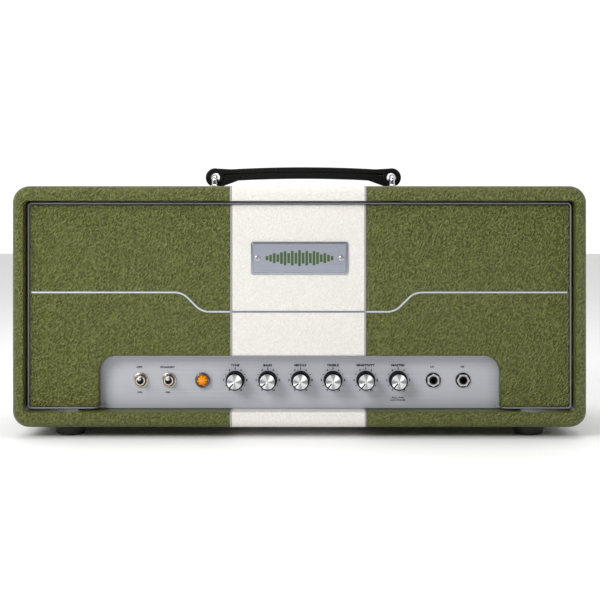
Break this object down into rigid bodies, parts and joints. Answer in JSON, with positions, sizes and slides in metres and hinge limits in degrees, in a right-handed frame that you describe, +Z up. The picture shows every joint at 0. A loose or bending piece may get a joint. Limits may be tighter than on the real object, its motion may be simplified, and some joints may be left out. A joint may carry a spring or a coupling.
{
  "type": "guitar amplifier head",
  "caption": "Valve guitar amplifier head: olive vinyl cabinet with a cream centre band, silver line and badge, arched window over a brushed panel of knobs, switches and jacks; strap handle.",
  "frame": {"origin": "centre of the footprint, on the plane that the rubber feet stand on", "axes": "+Z up, +X to the right seen from the front, front towards -Y"},
  "size_m": [0.69, 0.241, 0.3286],
  "materials": {
    "plywood": "sanded birch plywood",
    "green_vinyl": "grained vinyl, olive green",
    "cream_vinyl": "grained vinyl, cream",
    "piping": "silver grey piping",
    "bead": "silver grey bead",
    "inlay_silver": "silver strip",
    "badge_metal": "satin plate",
    "screw_nickel": "nickel plated",
    "chrome": "polished",
    "chassis_metal": "folded sheet",
    "panel_metal": "brushed lengthwise",
    "rear_plate_metal": "black anodised",
    "knob_black": "phenolic, fluted",
    "knob_cap": "spun",
    "zinc": "zinc plated",
    "black_plastic": "moulded",
    "amber_lens": "amber jewel",
    "valve_glass": "clear",
    "electrode_grey": "carbonised nickel",
    "ceramic": "glazed ceramic",
    "core_steel": "lacquered laminations",
    "winding_tape": "varnished tape over copper",
    "cover_black": "gloss black",
    "can_metal": "drawn can",
    "board_material": "phenolic board",
    "component_coat": "dipped components",
    "grille_black": "perforated, powder coated",
    "rubber": "moulded",
    "strap_black": "vinyl over a steel core"
  },
  "bodies": {
    "cabinet": {"badge_plate": "badge_metal", "badge_screws": "screw_nickel", "band_piping": "piping", "board_components": "component_coat", "bottom_board": "plywood", "cabinet_cleats": "plywood", "cabinet_covering_cream": "cream_vinyl", "cabinet_covering_green": "green_vinyl", "cabinet_screws": "zinc", "chassis": "chassis_metal", "circuit_board": "board_material", "control_panel": "panel_metal", "filter_capacitors": "can_metal", "front_board": "plywood", "front_covering_cream": "cream_vinyl", "front_covering_green": "green_vinyl", "front_edge_bead": "bead", "front_inlay_line": "inlay_silver", "fuse_holders": "black_plastic", "handle_brackets": "chrome", "jack_sockets": "black_plastic", "machine_bolts": "zinc", "mains_inlet": "black_plastic", "panel_nuts": "chrome", "pilot_lamp_bezel": "chrome", "pilot_lamp_lens": "amber_lens", "pot_bodies": "zinc", "rear_board": "plywood", "rear_connector_plate": "rear_plate_metal", "rear_covering": "green_vinyl", "rear_vent_grille": "grille_black", "rubber_feet": "rubber", "side_board_left": "plywood", "side_board_right": "plywood", "toggle_switch_bodies": "chrome", "top_board": "plywood", "transformer_cores": "core_steel", "transformer_covers": "cover_black", "transformer_windings": "winding_tape", "valve_electrodes": "electrode_grey", "valve_envelopes": "valve_glass", "valve_sockets": "ceramic"},
    "tone_control": {"tone_knob": "knob_black", "tone_knob_cap": "knob_cap"},
    "bass_control": {"bass_knob": "knob_black", "bass_knob_cap": "knob_cap"},
    "middle_control": {"middle_knob": "knob_black", "middle_knob_cap": "knob_cap"},
    "treble_control": {"treble_knob": "knob_black", "treble_knob_cap": "knob_cap"},
    "sensitivity_control": {"sensitivity_knob": "knob_black", "sensitivity_knob_cap": "knob_cap"},
    "master_control": {"master_knob": "knob_black", "master_knob_cap": "knob_cap"},
    "master_plunger": {"master_pull_plunger": "black_plastic"},
    "power_lever": {"power_toggle_lever": "chrome"},
    "standby_lever": {"standby_toggle_lever": "chrome"},
    "handle": {"handle_grip": "strap_black", "handle_under_strap": "strap_black"}
  },
  "joints": [
    {"name": "tone_turn", "type": "hinge", "parent": "cabinet", "child": "tone_control", "pos_m": [-0.0785, -0.1, 0.0668], "axis": [0, 1, 0], "range_deg": [-9, 291]},
    {"name": "bass_turn", "type": "hinge", "parent": "cabinet", "child": "bass_control", "pos_m": [-0.0388, -0.1, 0.0668], "axis": [0, 1, 0], "range_deg": [-21, 279]},
    {"name": "middle_turn", "type": "hinge", "parent": "cabinet", "child": "middle_control", "pos_m": [0.001, -0.1, 0.0668], "axis": [0, 1, 0], "range_deg": [-21, 279]},
    {"name": "treble_turn", "type": "hinge", "parent": "cabinet", "child": "treble_control", "pos_m": [0.0407, -0.1, 0.0668], "axis": [0, 1, 0], "range_deg": [-12, 288]},
    {"name": "sensitivity_turn", "type": "hinge", "parent": "cabinet", "child": "sensitivity_control", "pos_m": [0.0805, -0.1, 0.0668], "axis": [0, 1, 0], "range_deg": [-5, 295]},
    {"name": "master_turn", "type": "hinge", "parent": "master_plunger", "child": "master_control", "pos_m": [0.1202, -0.1, 0.0668], "axis": [0, 1, 0], "range_deg": [-10, 290]},
    {"name": "master_pull", "type": "slide", "parent": "cabinet", "child": "master_plunger", "axis": [0, -1, 0], "range_m": [0, 0.004]},
    {"name": "power_throw", "type": "hinge", "parent": "cabinet", "child": "power_lever", "pos_m": [-0.1934, -0.094, 0.0668], "axis": [1, 0, 0], "range_deg": [0, 28]},
    {"name": "standby_throw", "type": "hinge", "parent": "cabinet", "child": "standby_lever", "pos_m": [-0.1591, -0.094, 0.0668], "axis": [1, 0, 0], "range_deg": [0, 28]},
    {"name": "handle_lift", "type": "slide", "parent": "cabinet", "child": "handle", "axis": [0, 0, 1], "range_m": [0, 0.0028]}
  ]
}
